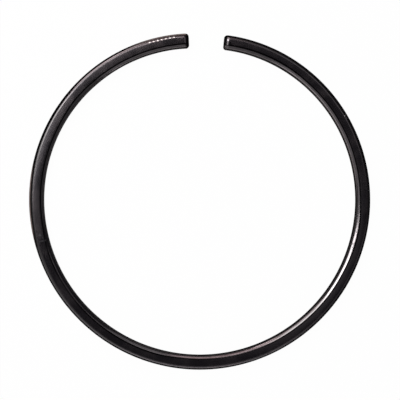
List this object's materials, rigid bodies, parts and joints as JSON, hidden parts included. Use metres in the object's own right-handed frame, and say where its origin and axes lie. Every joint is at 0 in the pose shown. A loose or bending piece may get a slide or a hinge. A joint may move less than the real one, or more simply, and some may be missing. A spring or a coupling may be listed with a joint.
{
  "type": "piston ring",
  "caption": "One-piece split ring with rounded edges and a straight-cut joint, shown sprung open, that seals a piston against its cylinder.",
  "frame": {"origin": "middle of the ring's plan outline, on the lower side face that it rests on", "axes": "+Z along the ring's axis, +Y from the back of the ring towards its joint gap, +X to the right"},
  "size_m": [0.104, 0.102, 0.003],
  "materials": {
    "black_ring_finish": "fine-ground cast iron with a thin black phosphate and oil finish, semi-gloss"
  },
  "bodies": {
    "root": {"piston_ring": "black_ring_finish"}
  },
  "joints": []
}
